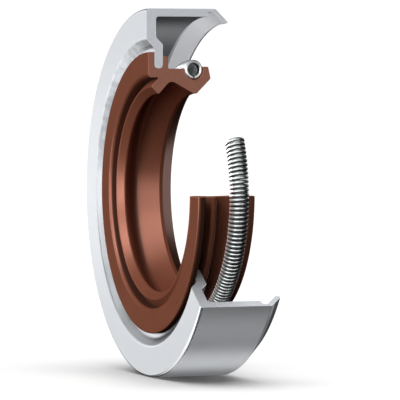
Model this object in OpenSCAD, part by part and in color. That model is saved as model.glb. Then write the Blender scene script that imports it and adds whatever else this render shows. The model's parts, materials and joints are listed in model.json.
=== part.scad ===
// Radial shaft seal, cut open to show its section. The shaft runs along Y and the flange
// faces -Y. Angles are measured about the shaft from the top (+Z) towards +X.

/* [Main sizes] */
// Diameter of the shaft that the lips run on
shaft_diameter = 28; // [20:0.5:31]
// Outside diameter of the metal case
housing_diameter = 52; // [50:0.5:64]
// Width from the flange face to the end of the tail
overall_width = 12.4; // [11.6:0.1:18]

/* [Metal case] */
// Wall of the cylindrical part
wall_thickness = 1.14; // [0.95:0.01:1.6]
// Thickness of the outer, flat part of the flange
flange_thickness = 1.42; // [1.1:0.02:1.8]
// Thickness of the flange foot that the rubber holds
foot_thickness = 1.26; // [0.9:0.02:1.6]
// How far the foot is set back from the flange face
foot_step = 1.2; // [0.8:0.05:1.8]
// Height of the foot's inner edge above the shaft
foot_height = 3.54; // [3.3:0.02:4.2]
// Slope of the step between flange and foot
step_angle = 45; // [35:1:60]
// Gap between the rubber's rim and the step
shoulder_gap = 0.55; // [0.2:0.05:1]
// Rounding of the front outer corner
front_corner_radius = 0.55; // [0.2:0.05:0.9]
// Rounding of the inside corner behind the flange
inside_corner_radius = 0.45; // [0.2:0.05:0.8]
// Angle by which the tail leans inwards
tail_angle = 45; // [30:1:55]
// How far the tail comes in from the outside diameter
tail_drop = 1.95; // [1.5:0.05:2.6]
// Thickness of the tail
tail_thickness = 0.64; // [0.45:0.02:0.8]
// Slope of the cut at the tail's end
tail_end_angle = 19; // [5:1:30]
// Depth of the relief groove inside the bend
groove_depth = 0.7; // [0.45:0.05:0.75]
// Width of the groove's floor
groove_width = 0.8; // [0.75:0.05:1.4]

/* [Sealing lip] */
// Depth of the main lip's contact line behind the flange face
lip_depth = 7.35; // [7.1:0.05:8]
// Width of the worn-in band on the main lip
lip_land = 0.5; // [0.3:0.05:0.8]
// Slope of the lip on the open side
back_angle = 45; // [40:1:52]
// Height of the corner behind the lip, above the shaft
back_height = 2.1; // [1.9:0.05:2.3]
// Height of the spring's rear wall above the shaft
retainer_height = 3.8; // [3.6:0.05:4.1]
// How far the rear wall leans forwards
retainer_lean = 0.38; // [0.1:0.02:0.5]
// Depth of the valley between the two lips
valley_depth = 3.66; // [3.4:0.02:3.8]
// Height of the valley's corner above the shaft
valley_height = 1.9; // [1.6:0.05:2]
// Height of the thin web that joins the lip to the rim
web_height = 3.52; // [3.3:0.02:3.6]
// Depth of the dust lip's edge
dust_depth = 1.82; // [1.75:0.02:2]
// Width of the dust lip's edge
dust_land = 0.24; // [0.1:0.02:0.4]
// Height of the dust lip's front corner above the shaft
dust_height = 1; // [0.8:0.05:1.1]
// Height of the rim in front of the foot, above the shaft
rim_height = 5.85; // [5.4:0.05:6.4]
// How far the rim's front is set back from the flange face
rim_recess = 0.26; // [0.1:0.02:0.5]
// Height of the rim's underside above the shaft
rim_underside = 2.27; // [2.15:0.02:2.4]
// Bevel of the rim's lower front edge
rim_bevel = 0.7; // [0.3:0.05:0.9]
// Height of the low collar behind the foot
collar_height = 5.3; // [4.8:0.05:5.7]
// Thickness of the collar behind the foot
collar_thickness = 0.8; // [0.6:0.05:1.1]

/* [Garter spring] */
// Outside diameter of the coil
coil_diameter = 2.8; // [2.4:0.05:2.85]
// Diameter of the spring wire
wire_diameter = 0.42; // [0.3:0.02:0.46]
// Distance from one turn to the next along the ring
coil_pitch = 0.572; // [0.55:0.002:0.8]
// Height of the ring's centreline above the shaft
spring_height = 3.38; // [3.34:0.02:3.5]
// How far the spring sits ahead of the main lip
spring_lead = 0.17; // [0.05:0.02:0.3]
// Free play between the coil and its groove
spring_clearance = 0.04; // [0.02:0.01:0.08]

/* [Cutaway] */
// Angle that is cut out of the metal case
case_cut = 125; // [90:1:150]
// Angle that is cut out of the rubber
rubber_cut = 90; // [60:1:90]
// Angle that is cut out of the spring
spring_cut = 64; // [30:1:80]

/* [Hidden] */
$fn = 144;
full_turn = 360;
arc_step = 15; // largest turn between two points of a rounded corner
seat_step = 7.5; // the same along the spring's groove
fine_round = 0.06;
soft_round = 0.2;

// Case, as [radius, depth behind the flange face]
case_radius = housing_diameter / 2;
inner_wall = case_radius - wall_thickness;
lip_radius = shaft_diameter / 2;
foot_back = foot_step + foot_thickness;
foot_edge = lip_radius + foot_height;
rim_radius = lip_radius + rim_height;
step_low = rim_radius + shoulder_gap;
step_high = step_low + foot_step / tan(step_angle);
// The back of the step lies one foot thickness behind its front.
step_back = step_high + foot_thickness / sin(step_angle);
tail_start = overall_width - tail_drop / tan(tail_angle);
tail_tip = [case_radius - tail_drop, overall_width];
tail_end = tail_thickness / sin(tail_angle + tail_end_angle);
tail_inside = tail_tip - tail_end * [sin(tail_end_angle), cos(tail_end_angle)];
groove_floor = inner_wall + groove_depth;
groove_rear = tail_inside[1] - (groove_floor - tail_inside[0]) / tan(tail_angle);
groove_front = groove_rear - groove_width;

// Rubber
lip_front = lip_depth - lip_land / 2;
lip_back = lip_depth + lip_land / 2;
back_depth = lip_back + back_height / tan(back_angle);
dust_front = dust_depth - dust_land / 2;
dust_corner = dust_front - dust_height;
dust_root = dust_corner + rim_underside - dust_height;
foot_middle = foot_step + foot_thickness / 2;
collar_back = foot_back + collar_thickness;

// Spring
ring_radius = lip_radius + spring_height;
spring_depth = lip_depth - spring_lead;
coil_radius = (coil_diameter - wire_diameter) / 2;
seat_radius = coil_diameter / 2 + spring_clearance;
web_radius = lip_radius + web_height;
seat_front_angle = 180 - asin((web_radius - ring_radius) / seat_radius);
seat_rear_angle = asin((lip_radius + retainer_height - soft_round - ring_radius) / seat_radius);
spring_sweep = full_turn - spring_cut;
turns = round(spring_sweep / full_turn * 2 * PI * ring_radius / coil_pitch);
half_turn_sweep = spring_sweep / turns / 2;
wire_step = 0.02; // by which every second half turn is thinner
wire_lap = 3; // angle that it runs into its neighbours

function unit(v) = v / norm(v);

// Points that round one corner of an outline: an arc that touches both of its sides.
function rounded_corner(before, corner, after, radius) =
    let (
        back = unit(before - corner),
        ahead = unit(after - corner),
        half = acos(back * ahead) / 2,
        centre = corner + unit(back + ahead) * radius / sin(half),
        start = corner + back * radius / tan(half) - centre,
        turn = (180 - 2 * half) * sign(cross(ahead, back)),
        steps = ceil(abs(turn) / arc_step)
    )
    [for (i = [0 : steps]) let (a = turn * i / steps)
        centre + [start[0] * cos(a) - start[1] * sin(a), start[0] * sin(a) + start[1] * cos(a)]];

function place(corner) = [corner[0], corner[1]];

// An outline from corners given as [radius, depth, rounding].
function rounded_outline(corners) =
    let (last = len(corners) - 1)
    [for (i = [0 : last]) each
        corners[i][2] == 0
            ? [place(corners[i])]
            : rounded_corner(
                place(corners[i == 0 ? last : i - 1]),
                place(corners[i]),
                place(corners[i == last ? 0 : i + 1]),
                corners[i][2])];

// Turns a section about the shaft, from the end of the cut round to the top.
module turned(cut) {
    rotate([-90, 0, 0])
        rotate_extrude(angle = full_turn - cut, start = cut - 90)
            children();
}

// One pressed sheet: wall, stepped flange with its foot, relief groove and inward tail.
module case_section() {
    polygon(rounded_outline([
        [case_radius, 0, front_corner_radius],
        [case_radius, tail_start, soft_round],
        [tail_tip[0], tail_tip[1], fine_round],
        [tail_inside[0], tail_inside[1], fine_round],
        [groove_floor, groove_rear, soft_round],
        [groove_floor, groove_front, 1.5 * soft_round],
        [inner_wall, groove_front, fine_round],
        [inner_wall, flange_thickness, inside_corner_radius],
        [step_back - flange_thickness / tan(step_angle), flange_thickness, 2 * soft_round],
        [step_back - foot_back / tan(step_angle), foot_back, 2 * soft_round],
        [foot_edge, foot_back, 0.44 * foot_thickness],
        [foot_edge, foot_step, 0.44 * foot_thickness],
        [step_low, foot_step, 1.5 * soft_round],
        [step_high, 0, soft_round],
    ]));
}

// The groove that the spring lies in, from the web down and up to the rear wall.
function spring_seat() =
    let (steps = ceil((full_turn + seat_rear_angle - seat_front_angle) / seat_step))
    [for (i = [0 : steps])
        let (a = seat_front_angle + (full_turn + seat_rear_angle - seat_front_angle) * i / steps)
        [ring_radius + seat_radius * sin(a), spring_depth + seat_radius * cos(a), 0]];

// The moulding before the flange foot is set into it.
module lip_section() {
    polygon(rounded_outline(concat(
        [
            [rim_radius, rim_recess, 2 * soft_round],
            [lip_radius + rim_underside + rim_bevel, rim_recess, soft_round],
            [lip_radius + rim_underside, rim_recess + rim_bevel, soft_round],
            [lip_radius + rim_underside, dust_root, 0.5 * soft_round],
            [lip_radius + dust_height, dust_corner, 0.5 * soft_round],
            [lip_radius, dust_front, 0],
            [lip_radius, dust_front + dust_land, 0],
            [lip_radius + valley_height, valley_depth, 3.5 * soft_round],
            [lip_radius, lip_front, 0],
            [lip_radius, lip_back, 0],
            [lip_radius + back_height, back_depth, soft_round],
            [lip_radius + retainer_height, back_depth - retainer_lean, soft_round],
            [lip_radius + retainer_height, spring_depth + seat_radius * cos(seat_rear_angle), 0],
        ],
        reverse(spring_seat()),
        [
            [web_radius, collar_back, soft_round],
            [lip_radius + collar_height, collar_back, 2 * soft_round],
            [lip_radius + collar_height, foot_middle, 0],
            [rim_radius, foot_middle, 0],
        ]
    )));
}

function reverse(list) = [for (i = [len(list) - 1 : -1 : 0]) list[i]];

module metal_case() {
    color("gainsboro")
        turned(case_cut)
            case_section();
}

module sealing_lip() {
    color("sienna")
        turned(rubber_cut)
            difference() {
                lip_section();
                case_section();
            }
}

// Half a turn of wire at the top of the ring, from its inner side over to its outer side.
// It starts and ends square to the shaft, so that the next half turn runs straight on.
module half_turn(wire, lap) {
    inner = (ring_radius - coil_radius) * [-sin(half_turn_sweep / 2), cos(half_turn_sweep / 2)];
    outer = (ring_radius + coil_radius) * [sin(half_turn_sweep / 2), cos(half_turn_sweep / 2)];
    middle = (inner + outer) / 2 - [0, ring_radius];
    chord = outer - inner;
    translate([middle[0], 0, middle[1]])
        rotate([0, -atan2(chord[1], chord[0]), 0])
            rotate_extrude(angle = 180 + 2 * lap, start = -lap, $fn = 36)
                translate([norm(chord) / 2, 0])
                    rotate(180)
                        circle(d = wire, $fn = 24);
}

// One wire: each half turn is the one before it, moved on and turned half way round.
// Every second one is a hair thinner and runs a little way into both of its neighbours.
module garter_spring() {
    color("silver")
        for (i = [0 : 2 * turns - 1])
            rotate([0, spring_cut + (i + 0.5) * half_turn_sweep, 0])
                translate([0, spring_depth, ring_radius])
                    rotate([0, 0, 180 * (i % 2)])
                        half_turn(wire_diameter - wire_step * (i % 2), wire_lap * (i % 2));
}

metal_case();
sealing_lip();
garter_spring();
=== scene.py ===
import json

import bpy
import numpy as np
from mathutils import Matrix, Vector
from mathutils.geometry import tessellate_polygon


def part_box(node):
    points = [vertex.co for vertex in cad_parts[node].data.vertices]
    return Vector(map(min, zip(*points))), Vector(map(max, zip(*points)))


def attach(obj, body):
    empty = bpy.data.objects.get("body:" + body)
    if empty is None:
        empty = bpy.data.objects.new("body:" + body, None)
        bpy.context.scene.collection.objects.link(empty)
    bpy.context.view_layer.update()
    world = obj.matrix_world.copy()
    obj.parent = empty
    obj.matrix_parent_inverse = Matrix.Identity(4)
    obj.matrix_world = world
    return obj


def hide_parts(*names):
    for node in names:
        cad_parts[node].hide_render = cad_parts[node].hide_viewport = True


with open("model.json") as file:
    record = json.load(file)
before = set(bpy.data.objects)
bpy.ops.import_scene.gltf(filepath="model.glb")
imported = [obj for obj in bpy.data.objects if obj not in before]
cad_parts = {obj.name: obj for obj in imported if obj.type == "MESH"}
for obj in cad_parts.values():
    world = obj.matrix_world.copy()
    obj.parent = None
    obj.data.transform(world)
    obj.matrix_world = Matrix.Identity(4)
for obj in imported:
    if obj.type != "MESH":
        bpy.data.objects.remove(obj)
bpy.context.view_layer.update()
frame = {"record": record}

# The metal case is one blank of cold-rolled sheet steel, 1.1 to 1.4 mm thick. It is deep-drawn
# to a cylinder with a stepped flange, and its rear edge is thinned and rolled inwards. The
# section was sawn and ground, so its cut faces are flat and finer than the pressed skin.
MM = 0.001
case_low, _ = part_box("metal_case")
case_radius = -case_low.z
overall_width = 12.4 * MM
bore = next(m for m in frame["record"]["mounts"] if m["name"] == "shaft_bore")
lip_radius = bore["dims"]["r_mm"] * MM
wall_thickness = 1.14 * MM
inner_wall = case_radius - wall_thickness
flange_thickness = 1.42 * MM
foot_thickness = 1.26 * MM
foot_front = 1.2 * MM
foot_back = foot_front + foot_thickness
foot_edge = lip_radius + 3.54 * MM
foot_rounding = 0.55 * MM
rim_radius = lip_radius + 5.85 * MM
step_low = rim_radius + 0.55 * MM
step_high = step_low + foot_front
step_back = step_high + foot_thickness * np.sqrt(2)
tail_drop = 1.95 * MM
tail_start = overall_width - tail_drop
tail_thickness = 0.64 * MM
tail_slope, trim_slope = np.radians([45, 19])
trim_width = tail_thickness / np.sin(tail_slope + trim_slope)
tail_inside = (
    case_radius - tail_drop - trim_width * np.sin(trim_slope),
    overall_width - trim_width * np.cos(trim_slope),
)
relief_depth, relief_width = 0.7 * MM, 0.8 * MM
groove_floor = inner_wall + relief_depth
groove_rear = tail_inside[1] - (groove_floor - tail_inside[0])
groove_front = groove_rear - relief_width
# The section's corners: radius from the shaft's line, depth behind the flange's face, rounding.
case_corners = [
    (case_radius, 0, 0.42 * MM),
    (case_radius, tail_start, 0.25 * MM),
    (case_radius - tail_drop, overall_width, 0.07 * MM),
    (*tail_inside, 0.06 * MM),
    (groove_floor, groove_rear, 0.2 * MM),
    (groove_floor, groove_front, 0.3 * MM),
    (inner_wall, groove_front, 0.06 * MM),
    (inner_wall, flange_thickness, 0.45 * MM),
    (step_back - flange_thickness, flange_thickness, 0.4 * MM),
    (step_back - foot_back, foot_back, 0.4 * MM),
    (foot_edge, foot_back, foot_rounding),
    (foot_edge, foot_front, foot_rounding),
    (step_low, foot_front, 0.9 * MM),
    (step_high, 0, 0.6 * MM),
]
# Angles are counted from the top towards +X. The cut took the case away as far as its start.
case_start, case_stop = np.radians([125, 360])
case_cut_edge = 0.04 * MM
skin_greys = (0.74, 0.765, 0.80), (0.82, 0.84, 0.87)
stretched_grey = (0.62, 0.64, 0.67)
corner_burnish_and_highlight_white = (0.92, 0.93, 0.95)
tail_grey = (0.70, 0.71, 0.74)
pocket_painted_shade_grey = (0.23, 0.235, 0.25)
ground_greys = (0.40, 0.415, 0.44), (0.46, 0.475, 0.50)
bump_depth = 0.02 * MM


def rounded(corners, steps=8):
    """Section points and their outward normals. Each corner (radius, depth, rounding) gives an
    arc that touches both of its sides: the arc's centre lies on the corner's bisector, at
    rounding / sin(half the corner's angle), and the normal turns evenly from side to side."""
    corners = np.array(corners, float)
    place, rounding = corners[:, :2], corners[:, 2:]
    arrive = place - np.roll(place, 1, axis=0)
    leave = np.roll(place, -1, axis=0) - place
    arrive /= np.linalg.norm(arrive, axis=1, keepdims=True)
    leave /= np.linalg.norm(leave, axis=1, keepdims=True)
    turn = np.arctan2(
        arrive[:, 0] * leave[:, 1] - arrive[:, 1] * leave[:, 0], (arrive * leave).sum(axis=1)
    )
    inward = leave - arrive
    inward /= np.linalg.norm(inward, axis=1, keepdims=True)
    centre = place + inward * rounding / np.cos(turn / 2)[:, None]
    heading = np.arctan2(arrive[:, 1], arrive[:, 0])[:, None]
    heading = heading + turn[:, None] * np.linspace(0, 1, steps)
    normal = np.stack([np.sin(heading), -np.cos(heading)], axis=2)
    points = centre[:, None] + normal * (rounding * np.sign(turn)[:, None])[:, None]
    return points.reshape(-1, 2), normal.reshape(-1, 2)


def linked(name, data):
    """A new object for a mesh, a light or a camera, linked into the scene."""
    thing = bpy.data.objects.new(name, data)
    bpy.context.scene.collection.objects.link(thing)
    return thing


def turned(name, corners, start, stop, edge, step=np.radians(1.25), edge_rows=4):
    """A section carried round the shaft from angle start to stop, both ends closed and their
    edges rounded. Row i, point j lies at radius and depth of section point j, drawn in along
    its normal by edge * (1 - sin t), and edge * (1 - cos t) from the end, where t runs from 0
    to a quarter turn. x = radius * sin(angle), y = depth, z = radius * cos(angle). The ends
    and their rounded edges take the piece's second material."""
    section, outward = rounded(corners)
    t = np.linspace(0, np.pi / 2, edge_rows)
    between = np.linspace(start, stop, round((stop - start) / step) + 1)[1:-1]
    inset = np.concatenate([1 - np.sin(t), 0 * between, 1 - np.sin(t)[::-1]])[:, None] * edge
    ahead = np.concatenate([1 - np.cos(t), 0 * between, np.cos(t)[::-1] - 1])[:, None] * edge
    angle = np.concatenate([0 * t + start, between, 0 * t + stop])[:, None]
    lean = np.concatenate([-np.cos(t), 0 * between, np.cos(t)[::-1]])[:, None]
    radius = section[:, 0] - inset * outward[:, 0]
    depth = section[:, 1] - inset * outward[:, 1]
    angle = angle + ahead / radius
    points = np.stack([radius * np.sin(angle), depth, radius * np.cos(angle)], axis=2)
    upright = np.sqrt(1 - lean**2)
    across = upright * outward[:, 0]
    normals = np.stack(
        [
            across * np.sin(angle) + lean * np.cos(angle),
            upright * outward[:, 1] + 0 * angle,
            across * np.cos(angle) - lean * np.sin(angle),
        ],
        axis=2,
    )
    rows, columns = angle.shape
    cell = np.arange(rows * columns).reshape(rows, columns)
    after = np.roll(cell, -1, axis=1)
    sides = np.stack([cell[:-1], cell[1:], after[1:], after[:-1]], axis=2).reshape(-1, 4)
    rim = (section - edge * outward) / MM
    fill = np.array(tessellate_polygon([rim.tolist()]))
    one, two, three = rim[fill.T]
    across, along = two - one, three - one
    backwards = across[:, 0] * along[:, 1] < across[:, 1] * along[:, 0]
    fill[backwards] = fill[backwards, ::-1]
    ends = cell[0][fill].tolist() + cell[-1][fill[:, ::-1]].tolist()
    mesh = bpy.data.meshes.new(name)
    mesh.from_pydata(points.reshape(-1, 3).tolist(), [], sides.tolist() + ends)
    mesh.shade_smooth()
    mesh.normals_split_custom_set_from_vertices(normals.reshape(-1, 3).tolist())
    cut = np.zeros(len(mesh.polygons), np.int32)
    worked = columns * (edge_rows - 1)
    cut[:worked] = cut[len(sides) - worked :] = 1
    mesh.polygons.foreach_set("material_index", cut)
    return linked(name, mesh)


class Signal:
    """A value that varies over a surface. Arithmetic on it adds the Math nodes."""

    def __init__(self, tree, socket):
        self.tree, self.socket = tree, socket

    def node(self, kind, settings=None, output=0, **sockets):
        """Adds one node: its type, its settings, and the values or links of its sockets. A
        socket is named, or s and its number where names repeat."""
        node = self.tree.nodes.new("ShaderNode" + kind)
        for key, value in (settings or {}).items():
            setattr(node, key, value)
        for key, value in sockets.items():
            socket = node.inputs[int(key[1:]) if key[1:].isdigit() else key.replace("_", " ")]
            if isinstance(value, Signal):
                self.tree.links.new(value.socket, socket)
            else:
                socket.default_value = value
        return Signal(self.tree, node.outputs[output])

    def math(self, operation, first, second=0.0):
        """One Math node."""
        return self.node("Math", {"operation": operation}, s0=first, s1=second)

    def parts(self):
        """A place's x, y and z."""
        split = self.node("SeparateXYZ", Vector=self).socket.node
        return [Signal(self.tree, socket) for socket in split.outputs]

    def noise(self, scale, detail=3.0):
        """Noise at a place, with scale cycles per unit of it."""
        return self.node("TexNoise", Vector=self, Scale=scale, Detail=detail)

    def rise(self, low, high):
        """0 below low, 1 above high, and a smooth step between. low may be the larger."""
        return self.node(
            "MapRange", {"interpolation_type": "SMOOTHSTEP"}, s0=self, s1=low, s2=high
        )

    def band(self, start, full, last, stop):
        """1 from full to last, 0 outside start and stop, and a smooth step on each side."""
        return self.rise(start, full) * self.rise(stop, last)

    def blend(self, first, second):
        """The first colour where the signal is 0, the second where it is 1."""
        first, second = (c if isinstance(c, Signal) else (*c, 1) for c in (first, second))
        return self.node("Mix", {"data_type": "RGBA"}, 2, s0=self, s6=first, s7=second)

    def __add__(self, other):
        return self.math("ADD", self, other)

    def __sub__(self, other):
        return self.math("SUBTRACT", self, other)

    def __rsub__(self, other):
        return self.math("SUBTRACT", other, self)

    def __mul__(self, other):
        return self.math("MULTIPLY", self, other)

    __radd__ = __add__
    __rmul__ = __mul__


def finish(name, **constants):
    """A material with its shader's constants set, and the Object coordinates to start from."""
    material = bpy.data.materials.new(name)
    material.use_nodes = True
    tree = material.node_tree
    shader = tree.nodes["Principled BSDF"]
    for key, value in constants.items():
        shader.inputs[key.replace("_", " ")].default_value = value
    start = Signal(tree, tree.nodes.new("ShaderNodeTexCoord").outputs["Object"])
    return material, start, shader.inputs


def polar(place):
    """A point's radius from the shaft's line, its depth, and its angle round the shaft."""
    x, depth, z = place.parts()
    radius = place.math("SQRT", x * x + z * z)
    return radius, depth, place.math("ARCTAN2", x, z)


def streaks(place, across, along):
    """Noise drawn out round the shaft: across cycles per metre over the section, and along
    cycles per radian."""
    radius, depth, angle = polar(place)
    drawn = place.node("CombineXYZ", X=radius * across, Y=depth * across, Z=angle * along)
    return drawn.noise(1.0)


def scratches(place, *cycles):
    """Noise drawn out in a straight line: its cycles per metre along x, y and z."""
    x, y, z = (part * rate for part, rate in zip(place.parts(), cycles))
    return place.node("CombineXYZ", X=x, Y=y, Z=z).noise(1.0)


def surface(shader, height, strength, **looks):
    """Links each look to the shader's socket of its name, and a height that is felt as bump."""
    links = height.tree.links
    for key, look in looks.items():
        links.new(look.socket, shader[key.replace("_", " ")])
    bump = height.node("Bump", Strength=strength, Distance=bump_depth, Height=height)
    links.new(bump.socket, shader["Normal"])


def pressed_steel():
    """Bright skin with drawing marks that run round it. The pocket inside is darkened with
    painted shade, the rolled tail is an even pale grey, the flange's outer corner is lighter
    and smoother, from burnish wear and a painted highlight, and the stepped ring in the flange
    is mottled where the blank was stretched."""
    material, place, shader = finish("pressed_steel")
    radius, depth, _ = polar(place)
    marks = streaks(place, 9000.0, 6.0)
    broad, blotch = place.noise(140.0), place.noise(620.0, 2.0)
    # The pocket's painted shade ends inside the sheet's thickness, and the tail halfway across
    # its own edge.
    inside = depth.rise(flange_thickness - 0.17 * MM, flange_thickness - 0.07 * MM)
    inside = inside * radius.rise(inner_wall + 0.5 * MM, inner_wall + 0.3 * MM)
    tail_middle = sum(tail_inside) + 0.45 * MM
    tail_root = groove_rear - groove_floor
    tail = (radius + depth).rise(tail_middle + 0.05 * MM, tail_middle - 0.05 * MM)
    tail = tail * (depth - radius).rise(tail_root - 0.1 * MM, tail_root)
    # Painted shade: the recess inside the case is laid over with a dark grey.
    pocket = inside * (1 - tail)
    step = radius.band(
        step_low - 0.2 * MM, step_low + 0.1 * MM, step_high - 0.1 * MM, step_high + 0.2 * MM
    )
    # The mottling shows above the shaft's line only.
    step = step * (1 - inside) * place.parts()[2].rise(-2 * MM, 8 * MM)
    # The flange's outer corner is painted lighter and smoother: burnish wear, and a painted
    # highlight along the edge.
    corner = (radius - depth).rise(case_radius - 0.5 * MM, case_radius - 0.3 * MM)
    skin = (broad * 0.6 + marks * 0.4).blend(*skin_greys)
    skin = (step * blotch.rise(0.42, 0.62)).blend(skin, stretched_grey)
    skin = corner.blend(skin, corner_burnish_and_highlight_white)
    skin = tail.blend(skin, tail_grey)
    skin = pocket.blend(skin, pocket_painted_shade_grey)
    rough = 0.34 + (marks - 0.5) * 0.12 + (broad - 0.5) * 0.08 - corner * 0.1 + step * 0.06
    height = marks * 0.6 + blotch * step * 1.2
    surface(shader, height, 0.25, Base_Color=skin, Roughness=rough, Metallic=1 - tail * 0.9)
    return material


def ground_steel():
    """The sawn and ground section: fine short scratches that cross it."""
    material, place, shader = finish("ground_steel", Metallic=0.85)
    scratch, grain = scratches(place, 700.0, 700.0, 9000.0), place.noise(6000.0, 2.0)
    skin = (scratch * 0.7 + grain * 0.3).blend(*ground_greys)
    rough = 0.46 + (scratch - 0.5) * 0.15
    surface(shader, scratch + grain * 0.5, 0.2, Base_Color=skin, Roughness=rough)
    return material


case = turned("case", case_corners, case_start, case_stop, case_cut_edge)
case.data.materials.append(pressed_steel())
case.data.materials.append(ground_steel())
# The case throws no light on the rubber, so the corner beside the rim stays dark.
case.visible_diffuse = case.visible_glossy = False
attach(case, "root")
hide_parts("metal_case")

# The sealing lip is one moulding of red-brown fluoro rubber, bonded to the foot of the flange
# while it cures. It has a rim in front of the foot, a low collar behind it, a dust lip, and a
# main lip on a thin web, with a round groove for the spring in its back.
coil_radius = 1.4 * MM
ring_radius = lip_radius + 3.38 * MM
lip_depth = 7.35 * MM
lip_half_width = 0.25 * MM
spring_depth = lip_depth - 0.17 * MM
seat_radius = coil_radius + 0.04 * MM
seat_rounding = 0.999 * seat_radius
web_radius = lip_radius + 3.52 * MM
collar_radius = lip_radius + 5.3 * MM
collar_back = foot_back + 0.8 * MM
retainer_radius = lip_radius + 3.8 * MM
bevel = 2.1 * MM
back_radius = lip_radius + bevel
back_depth = lip_depth + lip_half_width + bevel
retainer_depth = back_depth - 0.38 * MM
rim_recess = 0.26 * MM
underside = lip_radius + 2.27 * MM
valley_radius = lip_radius + 1.9 * MM
valley_depth = 3.66 * MM
dust_front = 1.7 * MM
dust_back = dust_front + 0.24 * MM
dust_height = 1.0 * MM
dust_radius = lip_radius + dust_height
dust_corner = dust_front - dust_height
dust_root = dust_corner + underside - dust_radius
lip_corners = [
    (rim_radius, foot_front, 0.04 * MM),
    (foot_edge, foot_front, foot_rounding),
    (foot_edge, foot_back, foot_rounding),
    (collar_radius, foot_back, 0.04 * MM),
    (collar_radius, collar_back, 0.4 * MM),
    (web_radius, collar_back, 0.2 * MM),
    (web_radius, spring_depth - seat_radius, 0.08 * MM),
    (ring_radius - seat_radius, spring_depth - seat_radius, seat_rounding),
    (ring_radius - seat_radius, spring_depth + seat_radius, seat_rounding),
    (retainer_radius, spring_depth + seat_radius, 0.08 * MM),
    (retainer_radius, retainer_depth, 0.2 * MM),
    (back_radius, back_depth, 0.2 * MM),
    (lip_radius, lip_depth + lip_half_width, 0.04 * MM),
    (lip_radius, lip_depth - lip_half_width, 0.04 * MM),
    (valley_radius, valley_depth, 1.0 * MM),
    (lip_radius, dust_back, 0.03 * MM),
    (lip_radius, dust_front, 0.03 * MM),
    (dust_radius, dust_corner, 0.3 * MM),
    (underside, dust_root, 0.1 * MM),
    (underside, rim_recess, 0.55 * MM),
    (rim_radius, rim_recess, 0.18 * MM),
]
lip_start, lip_stop = np.radians([90, 360])
lip_cut_edge = 0.05 * MM
moulded_browns = (0.33, 0.106, 0.058), (0.42, 0.142, 0.084)
# The dark brown is painted shade for the corner under the rim and the valley between the lips.
painted_shade_brown = (0.10, 0.045, 0.030)
cut_browns = (0.46, 0.192, 0.130), (0.62, 0.270, 0.188)
valley_shade_radii = lip_radius + np.array([0.6, 1.5, 2.1, 2.4]) * MM
valley_shade_depths = np.array([2.2, 2.9, 3.9, 4.8]) * MM


def moulded_rubber():
    """Satin moulded skin: faint turning marks of the mould run round it, over a fine stipple,
    and the bloom on it varies. Painted shade darkens the corner under the rim and, at half
    strength, the valley between the lips."""
    material, place, shader = finish("moulded_rubber", Metallic=0.4, IOR=1.6)
    radius, depth, _ = polar(place)
    marks = streaks(place, 6000.0, 4.0)
    bloom, stipple = place.noise(180.0, 4.0), place.noise(4200.0)
    # Painted shade: the corner under the rim and the valley between the lips are darkened to a
    # dark brown.
    under_rim_shade = radius.rise(underside - 0.5 * MM, underside) * depth.band(
        rim_recess + 0.2 * MM, rim_recess + 0.5 * MM, dust_root, dust_root + 0.5 * MM
    )
    valley = radius.band(*valley_shade_radii) * depth.band(*valley_shade_depths) * 0.5
    skin = (bloom * 0.6 + marks * 0.4).blend(*moulded_browns)
    skin = (under_rim_shade + valley).blend(skin, painted_shade_brown)
    rough = 0.31 + (bloom - 0.5) * 0.1 + (marks - 0.5) * 0.1
    surface(shader, stipple + marks, 0.22, Base_Color=skin, Roughness=rough)
    return material


def cut_rubber():
    """The face that the knife left: matt, a little browner, with fine drag lines."""
    material, place, shader = finish("cut_rubber", Metallic=0.0, IOR=1.35)
    drag, crumb = scratches(place, 900.0, 5500.0, 900.0), place.noise(2600.0, 4.0)
    skin = (drag * 0.4 + crumb * 0.6).blend(*cut_browns)
    rough = 0.55 + (crumb - 0.5) * 0.15
    surface(shader, drag * 0.6 + crumb, 0.4, Base_Color=skin, Roughness=rough)
    return material


lip = turned("lip", lip_corners, lip_start, lip_stop, lip_cut_edge)
lip.data.materials.append(moulded_rubber())
lip.data.materials.append(cut_rubber())
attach(lip, "root")
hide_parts("sealing_lip")

# The garter spring is bright drawn wire, 0.52 mm thick, wound close into a coil whose ends are
# joined to make a ring. It lies loose in the groove behind the main lip and pulls the lip onto
# the shaft. Here it is cut through, so both of its ends are open.
wire_radius = 0.262 * MM
wind_radius = coil_radius - wire_radius
pitch = 0.572 * MM
spring_start, spring_stop = np.radians([64, 360])
turns = round((spring_stop - spring_start) * ring_radius / pitch)
crown_greys = (0.80, 0.84, 0.84), (0.90, 0.94, 0.94)
flank_painted_shade_black = (0.012, 0.014, 0.014)


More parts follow.
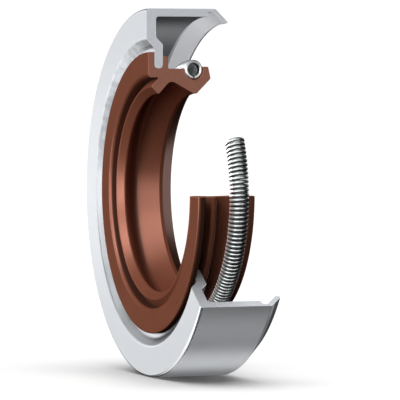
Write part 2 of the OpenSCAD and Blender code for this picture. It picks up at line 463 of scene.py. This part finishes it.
def coil(name, steps=22, sides=10):
    """A wire wound round a ring. At winding angle w the wire's centre lies at radius
    ring - wind * cos(w) and depth seat + wind * sin(w), while the ring angle moves evenly from
    start to stop. Round it, each ring of points is wire radius times cos and sin of an even
    turn along the two directions square to the wire. The crown attribute is that cos, 1 on the
    coil's outside and -1 on its inside, and over the first and the last turn, fading over the
    next, it is raised to twice the sin on the side that faces the open end."""
    w = np.linspace(0, 2 * np.pi * turns, turns * steps + 1)
    angle = spring_start + (spring_stop - spring_start) * w / w[-1]
    out = np.stack([np.sin(angle), 0 * w, np.cos(angle)], axis=1)
    back = np.array([0, 1.0, 0])
    away = -np.cos(w)[:, None] * out + np.sin(w)[:, None] * back
    line = ring_radius * out + spring_depth * back + wind_radius * away
    along = np.gradient(line, axis=0)
    along /= np.linalg.norm(along, axis=1, keepdims=True)
    side = np.cross(along, away)
    side /= np.linalg.norm(side, axis=1, keepdims=True)
    away = np.cross(side, along)
    spin = np.linspace(0, 2 * np.pi, sides, endpoint=False)[:, None]
    normals = np.cos(spin) * away[:, None] + np.sin(spin) * side[:, None]
    points = line[:, None] + wire_radius * normals
    cell = np.arange(len(w) * sides).reshape(-1, sides)
    after = np.roll(cell, -1, axis=1)
    skin = np.stack([cell[:-1], after[:-1], after[1:], cell[1:]], axis=2).reshape(-1, 4)
    ends = [cell[0, ::-1].tolist(), cell[-1].tolist()]
    mesh = bpy.data.meshes.new(name)
    mesh.from_pydata(points.reshape(-1, 3).tolist(), [], skin.tolist() + ends)
    mesh.polygons.foreach_set("use_smooth", [True] * len(skin) + [False] * len(ends))
    first, last = (np.clip(2 - gone / (2 * np.pi), 0, 1)[:, None] for gone in (w, w[-1] - w))
    outer, sideways = np.cos(spin[:, 0]), 2 * np.sign(first - last) * np.sin(spin[:, 0])
    raised = outer + (first + last) * np.maximum(sideways - outer, 0)
    crown = mesh.attributes.new("crown", "FLOAT", "POINT")
    crown.data.foreach_set("value", raised.astype(np.float32).ravel())
    return linked(name, mesh)


def drawn_wire():
    """The drawn wire: a bright crown, black painted shade on the flanks where the turns shade
    each other, and a dull inner side that shows in the open end."""
    material, place, shader = finish("drawn_wire")
    crown = place.node("Attribute", {"attribute_name": "crown"}, 2)
    inner = crown.rise(-0.5, -0.9)
    bright = crown.rise(0.3, 0.85) + inner
    grain = place.noise(5000.0)
    # The flanks are painted black as painted shade between the turns.
    skin = bright.blend(flank_painted_shade_black, grain.blend(*crown_greys))
    rough = 0.4 - 0.1 * bright + 0.08 * grain
    surface(shader, grain, 0.12, Base_Color=skin, Roughness=rough, Metallic=1 - inner * 0.9)
    return material


spring = coil("spring")
spring.data.materials.append(drawn_wire())
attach(spring, "root")
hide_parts("garter_spring")

# The studio: a pale floor that the rim stands on, and soft round cards at a distance. The case,
# the lip, the spring and the floor each have cards of their own, so that each can be lit to
# show its form. The backdrop is white and gives no light.
floor_reach = 6.0
floor_corners = floor_reach * np.array([(-1, -1, 0), (1, -1, 0), (1, 1, 0), (-1, 1, 0)])
floor_mesh = bpy.data.meshes.new("floor")
floor_mesh.from_pydata(floor_corners.tolist(), [], [(0, 1, 2, 3)])
floor_mesh.materials.append(
    finish("paper", Base_Color=(0.4, 0.4, 0.4, 1), Roughness=0.9, Specular_IOR_Level=0.0)[0]
)
floor = linked("floor", floor_mesh)
floor.location.z = case_low.z
floor.visible_glossy = floor.visible_diffuse = floor.visible_shadow = False


def cards(name, lit, places, alone=False):
    """Soft round cards that light only the given objects, and with alone are shaded only by
    them. Each place is a direction from the part, the card's width in degrees, and its
    brightness, where 1 is white paper in full light. A disc of width w and brightness b gives
    pi * b * sin(w / 2) ** 2 on a surface that faces it."""
    group = bpy.data.collections.new(name)
    for piece in lit:
        group.objects.link(piece)
    for toward, width, brightness in places:
        light = bpy.data.lights.new(name, "SUN")
        light.angle = np.radians(width)
        light.energy = np.pi * brightness * np.sin(light.angle / 2) ** 2
        card = linked(name, light)
        card.rotation_euler = Vector(toward).to_track_quat("Z", "Y").to_euler()
        card.light_linking.receiver_collection = group
        if alone:
            card.light_linking.blocker_collection = group
    return group


case_group = cards("case_card", [case], [
    ((0.15, 0.99, 0.04), 58, 5.0),
    ((0.93, 0.36, -0.03), 40, 0.2),
    ((0.66, -0.48, 0.58), 58, 3.5),
    ((0.10, -0.26, 0.96), 58, 3.2),
    ((0.83, -0.37, -0.42), 58, 2.9),
    ((-0.31, -0.91, -0.27), 58, 0.95),
    ((-0.53, -0.44, -0.72), 50, 0.9),
    ((0.95, -0.25, -0.15), 40, 2.6),
    ((-0.29, 0.36, 0.89), 30, 1.8),
    ((-0.58, 0.36, -0.73), 26, 0.8),
    ((-0.78, -0.62, 0.12), 58, 0.6),
    ((-0.86, -0.09, 0.50), 58, 0.25),
    ((-0.03, 0.36, -0.93), 26, 0.4),
    ((0.36, -0.93, -0.03), 30, 1.1),
    ((-0.93, -0.36, -0.03), 26, 0.3),
])

# One more disc stands close beside the left of the flange's ring, so that its light fades
# along the ring. A disc of radius r and brightness b sends out pi * b * pi * r ** 2.
near_radius, near_distance, near_brightness = 20 * MM, 150 * MM, 0.5
near_toward = Vector((-0.93, -0.36, -0.03))
ring_left = Vector((-21 * MM, 0, 0))
near_light = bpy.data.lights.new("near_card", "AREA")
near_light.shape, near_light.size = "DISK", 2 * near_radius
near_light.energy = near_brightness * np.pi * np.pi * near_radius**2
near_card = linked("near_card", near_light)
near_card.location = ring_left + near_toward * near_distance
near_card.rotation_euler = near_toward.to_track_quat("Z", "Y").to_euler()
near_card.light_linking.receiver_collection = case_group

cards("rubber_card", [lip], [
    ((0.20, -0.75, 0.63), 30, 3.4),
    ((0.51, -0.81, 0.30), 30, 2.0),
    ((0.80, -0.60, -0.03), 26, 1.2),
    ((0.36, -0.93, -0.03), 22, 4.0),
    ((0.59, -0.59, 0.54), 30, 1.2),
    ((0.66, -0.48, 0.58), 80, 0.5),
    ((-0.36, 0.93, -0.03), 30, 0.8),
    ((-0.40, -0.90, 0.10), 40, 2.2),
])
cards("wire_card", [spring], [
    ((-0.78, -0.62, 0.12), 58, 3.9),
    ((-0.67, 0.70, 0.27), 58, 0.8),
    ((0.80, -0.55, 0.05), 58, 1.6),
    ((0.10, -0.26, 0.96), 58, 0.9),
    ((0.20, -0.97, 0.05), 58, 1.4),
    ((0.95, 0.25, 0.00), 40, 1.5),
], alone=True)
cards("floor_card", [floor], [((0.0, 0.0, 1.0), 95, 5.1)])

world = bpy.data.worlds.new("studio")
world.use_nodes = True
backdrop = world.node_tree.nodes["Background"].inputs
backdrop["Color"].default_value = (1, 1, 1, 1)
backdrop["Strength"].default_value = 1.05
world.cycles_visibility.diffuse = world.cycles_visibility.glossy = False
bpy.context.scene.world = world
bpy.context.scene.view_settings.view_transform = "Standard"

# The camera stands half a metre off, 21 degrees in front of the flange's plane and 2 degrees
# above the shaft, with a long lens. It is moved a little right and down to frame the part.
azimuth, elevation = np.radians([69.031, 1.959])
distance, rightward, downward = 0.50927, 0.007535, 0.001003
across, level = np.cos(azimuth), np.cos(elevation)
back = Vector((np.sin(azimuth) * level, -across * level, np.sin(elevation)))
right = Vector((across, np.sin(azimuth), 0))
up = back.cross(right)
lens = bpy.data.cameras.new("camera")
lens.lens, lens.sensor_width = 325.04, 36
lens.clip_start, lens.clip_end = 0.05, 50
camera = linked("camera", lens)
place = back * distance + right * rightward - up * downward
turn = Matrix((right, up, back)).transposed().to_4x4()
camera.matrix_world = Matrix.Translation(place) @ turn
bpy.context.scene.camera = camera

bpy.context.view_layer.update()
